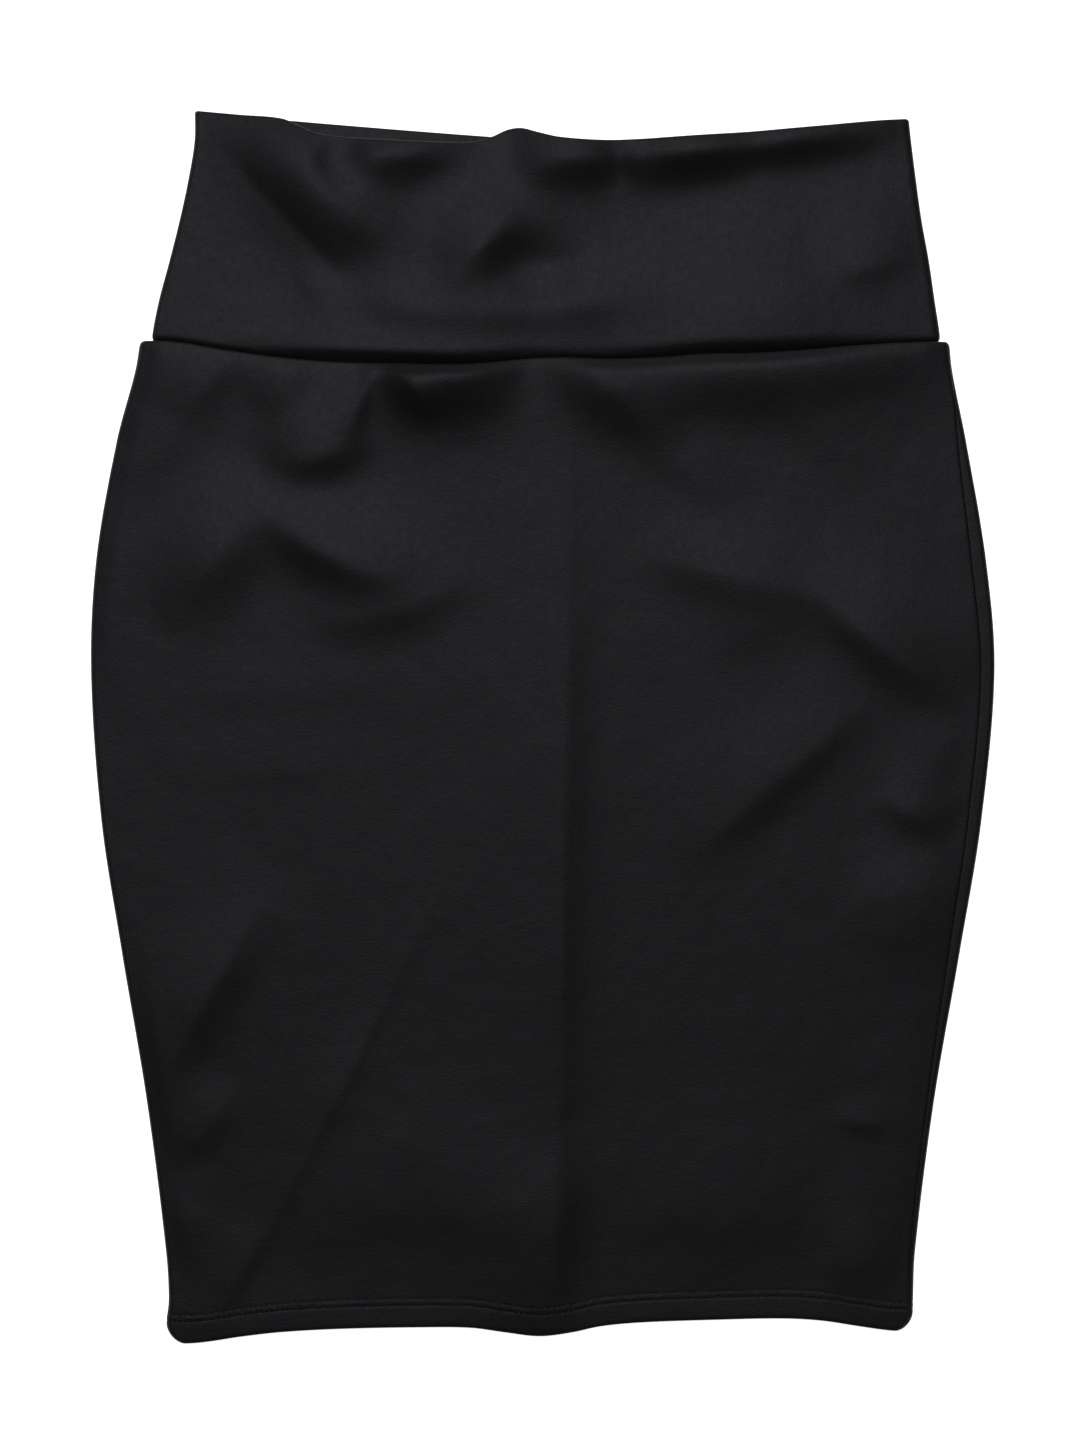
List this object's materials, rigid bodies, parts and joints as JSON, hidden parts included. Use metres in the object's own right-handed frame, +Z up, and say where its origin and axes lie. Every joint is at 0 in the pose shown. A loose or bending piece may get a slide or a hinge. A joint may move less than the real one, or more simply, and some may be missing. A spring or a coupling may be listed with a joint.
{
  "type": "pencil skirt",
  "caption": "Pull-on pencil skirt in stretch knit with a wide plain waistband and a turned-up hem, lying flat with its front up.",
  "frame": {"origin": "middle of the lying skirt's outline, on the surface that it lies on", "axes": "+Y from the hem to the waist, +X across to the right as seen from the front, +Z up out of the front panel"},
  "size_m": [0.4513, 0.6153, 0.0141],
  "materials": {
    "skirt_front": "matt black scuba knit with a faint sheen",
    "skirt_back": "matt black scuba knit with a faint sheen",
    "waistband_front": "matt black scuba knit with a faint sheen",
    "waistband_back": "matt black scuba knit with a faint sheen"
  },
  "bodies": {
    "root": {"skirt_front": "skirt_front", "skirt_back": "skirt_back", "waistband_front": "waistband_front", "waistband_back": "waistband_back"}
  },
  "joints": []
}
